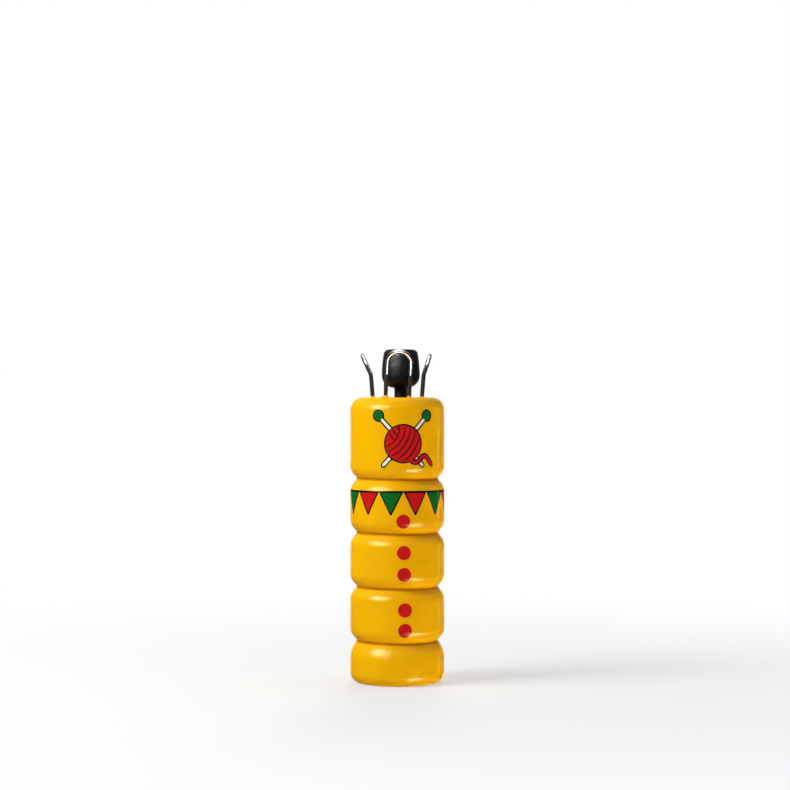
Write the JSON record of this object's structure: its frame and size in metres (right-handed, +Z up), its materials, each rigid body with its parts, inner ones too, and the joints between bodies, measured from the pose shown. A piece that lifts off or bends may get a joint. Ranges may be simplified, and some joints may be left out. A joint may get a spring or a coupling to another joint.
{
  "type": "knitting nancy",
  "caption": "Turned wooden knitting nancy with a through bore, a ring of bent wire hooks round its mouth, and a loose knobbed pick kept in the bore.",
  "frame": {"origin": "middle of the foot's flat underside, on the body's axis", "axes": "+Z up along the body's axis, -Y to the front hook and the painted front, +X to the right hook"},
  "size_m": [0.03, 0.03, 0.1055],
  "materials": {
    "yellow_lacquer": "turned hardwood under gloss yellow lacquer, bare inside the bore",
    "hook_wire": "bright drawn steel wire, nickel plated",
    "knob_plastic": "black moulded plastic, satin",
    "needle_steel": "polished steel needle"
  },
  "bodies": {
    "nancy": {"turned_body": "yellow_lacquer", "hook_front": "hook_wire", "hook_left": "hook_wire", "hook_back": "hook_wire", "hook_right": "hook_wire"},
    "pick": {"pick_knob": "knob_plastic", "pick_needle": "needle_steel"}
  },
  "joints": [
    {"name": "pick_lift", "type": "slide", "parent": "nancy", "child": "pick", "axis": [0, 0, 1], "range_m": [0, 0.106]}
  ]
}
